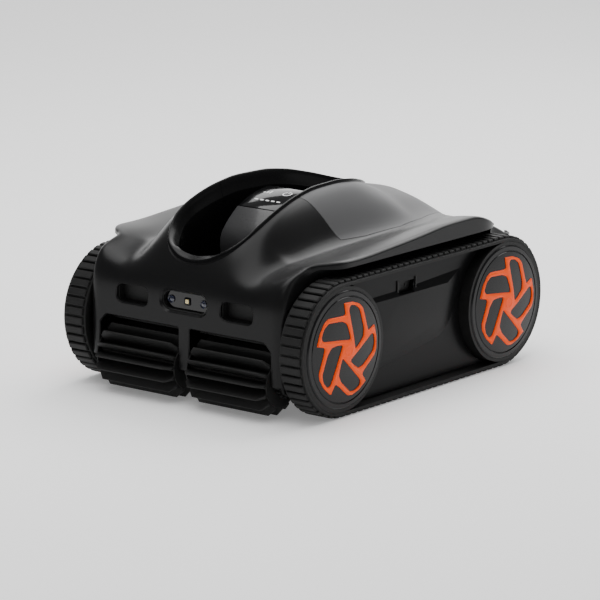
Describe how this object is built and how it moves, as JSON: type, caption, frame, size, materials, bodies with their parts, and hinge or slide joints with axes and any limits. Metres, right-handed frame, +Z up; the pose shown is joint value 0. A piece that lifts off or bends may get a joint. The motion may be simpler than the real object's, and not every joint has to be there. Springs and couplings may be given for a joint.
{
  "type": "pool cleaner",
  "caption": "Cordless tracked robotic pool cleaner with twin front brush rollers, arched carry opening and lift-up filter lid.",
  "frame": {"origin": "on the ground, at the centre of the footprint", "axes": "+Z up, the front with its brushes faces -Y, +X to the right seen from the front"},
  "size_m": [0.4104, 0.536, 0.263],
  "materials": {
    "satin_black_plastic": "satin moulded black",
    "canopy_plastic": "satin moulded charcoal",
    "gloss_black_plastic": "gloss black",
    "matte_black_plastic": "matte moulded black",
    "orange_plastic": "satin orange",
    "track_rubber": "moulded rubber",
    "brush_rubber": "soft moulded rubber",
    "dark_glass": "tinted clear plastic",
    "steel": "stainless steel",
    "nylon_gear": "natural acetal",
    "bush_plastic": "filled nylon",
    "motor_metal": "plated can",
    "basket_plastic": "moulded with fine mesh",
    "battery_wrap": "blue shrink wrap",
    "circuit_board": "green solder mask",
    "lens_glass": "coated glass",
    "lamp_lens": "pale yellow emitter"
  },
  "bodies": {
    "hull": {"axle_bushes": "bush_plastic", "battery_pack": "battery_wrap", "brush_bracket": "matte_black_plastic", "camera_housing": "matte_black_plastic", "camera_lenses": "lens_glass", "camera_window": "dark_glass", "canopy_hinge_pin": "steel", "charging_socket": "matte_black_plastic", "chassis": "matte_black_plastic", "control_board": "circuit_board", "control_box": "matte_black_plastic", "control_box_lid": "matte_black_plastic", "drive_motors": "motor_metal", "filter_basket": "basket_plastic", "frame_screws": "steel", "handle_base": "gloss_black_plastic", "lamp": "lamp_lens", "opening_ring_front": "gloss_black_plastic", "outlet_grille": "matte_black_plastic", "pump_housing": "matte_black_plastic", "pump_motor": "motor_metal", "side_frames": "matte_black_plastic", "side_panel_left": "gloss_black_plastic", "side_panel_right": "gloss_black_plastic", "slot_inserts": "matte_black_plastic", "top_shell": "satin_black_plastic", "track_left": "track_rubber", "track_right": "track_rubber", "well_floor": "matte_black_plastic"},
    "canopy_lid": {"canopy": "canopy_plastic", "opening_ring_rear": "gloss_black_plastic", "handle_bridge": "gloss_black_plastic", "display_panel": "dark_glass", "canopy_deck": "matte_black_plastic"},
    "wheel_front_left": {"pulley_front_left": "matte_black_plastic", "wheel_cover_front_left": "gloss_black_plastic", "wheel_star_front_left": "orange_plastic", "wheel_axle_front_left": "steel", "axle_gear_left": "nylon_gear"},
    "wheel_front_right": {"pulley_front_right": "matte_black_plastic", "wheel_cover_front_right": "gloss_black_plastic", "wheel_star_front_right": "orange_plastic", "wheel_axle_front_right": "steel", "axle_gear_right": "nylon_gear"},
    "wheel_rear_left": {"pulley_rear_left": "matte_black_plastic", "wheel_cover_rear_left": "gloss_black_plastic", "wheel_star_rear_left": "orange_plastic", "wheel_axle_rear_left": "steel"},
    "wheel_rear_right": {"pulley_rear_right": "matte_black_plastic", "wheel_cover_rear_right": "gloss_black_plastic", "wheel_star_rear_right": "orange_plastic", "wheel_axle_rear_right": "steel"},
    "brush_left": {"brush_shaft_left": "matte_black_plastic", "brush_sleeve_left": "brush_rubber"},
    "motor_rotor_left": {"motor_pinion_left": "nylon_gear"},
    "brush_right": {"brush_shaft_right": "matte_black_plastic", "brush_sleeve_right": "brush_rubber"},
    "motor_rotor_right": {"motor_pinion_right": "nylon_gear"},
    "pump_rotor": {"impeller": "nylon_gear"},
    "inlet_flap": {"intake_flap": "matte_black_plastic"}
  },
  "joints": [
    {"name": "canopy_hinge", "type": "hinge", "parent": "hull", "child": "canopy_lid", "pos_m": [0, 0.263, 0.164], "axis": [-1, 0, 0], "range_deg": [0, 70]},
    {"name": "front_wheel_left_spin", "type": "hinge", "parent": "hull", "child": "wheel_front_left", "pos_m": [-0.18, -0.171, 0.0875], "axis": [1, 0, 0], "continuous": true},
    {"name": "rear_wheel_left_spin", "type": "hinge", "parent": "hull", "child": "wheel_rear_left", "pos_m": [-0.18, 0.171, 0.0875], "axis": [1, 0, 0], "continuous": true},
    {"name": "brush_left_spin", "type": "hinge", "parent": "hull", "child": "brush_left", "pos_m": [-0.075, -0.225, 0.0455], "axis": [1, 0, 0], "continuous": true},
    {"name": "motor_left_spin", "type": "hinge", "parent": "hull", "child": "motor_rotor_left", "pos_m": [-0.14, -0.11172, 0.06593], "axis": [1, 0, 0], "continuous": true},
    {"name": "front_wheel_right_spin", "type": "hinge", "parent": "hull", "child": "wheel_front_right", "pos_m": [0.18, -0.171, 0.0875], "axis": [1, 0, 0], "continuous": true},
    {"name": "rear_wheel_right_spin", "type": "hinge", "parent": "hull", "child": "wheel_rear_right", "pos_m": [0.18, 0.171, 0.0875], "axis": [1, 0, 0], "continuous": true},
    {"name": "brush_right_spin", "type": "hinge", "parent": "hull", "child": "brush_right", "pos_m": [0.075, -0.225, 0.0455], "axis": [1, 0, 0], "continuous": true},
    {"name": "motor_right_spin", "type": "hinge", "parent": "hull", "child": "motor_rotor_right", "pos_m": [0.14, -0.11172, 0.06593], "axis": [1, 0, 0], "continuous": true},
    {"name": "impeller_spin", "type": "hinge", "parent": "hull", "child": "pump_rotor", "pos_m": [0, 0.172, 0.11], "axis": [0, 0, 1], "continuous": true},
    {"name": "intake_flap_hinge", "type": "hinge", "parent": "hull", "child": "inlet_flap", "pos_m": [0, -0.07, 0.1105], "axis": [1, 0, 0], "range_deg": [0, 65]}
  ],
  "couplings": [
    {"joint": "rear_wheel_left_spin", "follows": "front_wheel_left_spin", "ratio": 1},
    {"joint": "brush_left_spin", "follows": "front_wheel_left_spin", "ratio": -3.2778},
    {"joint": "motor_left_spin", "follows": "front_wheel_left_spin", "ratio": -4.9167},
    {"joint": "rear_wheel_right_spin", "follows": "front_wheel_right_spin", "ratio": 1},
    {"joint": "brush_right_spin", "follows": "front_wheel_right_spin", "ratio": -3.2778},
    {"joint": "motor_right_spin", "follows": "front_wheel_right_spin", "ratio": -4.9167}
  ]
}
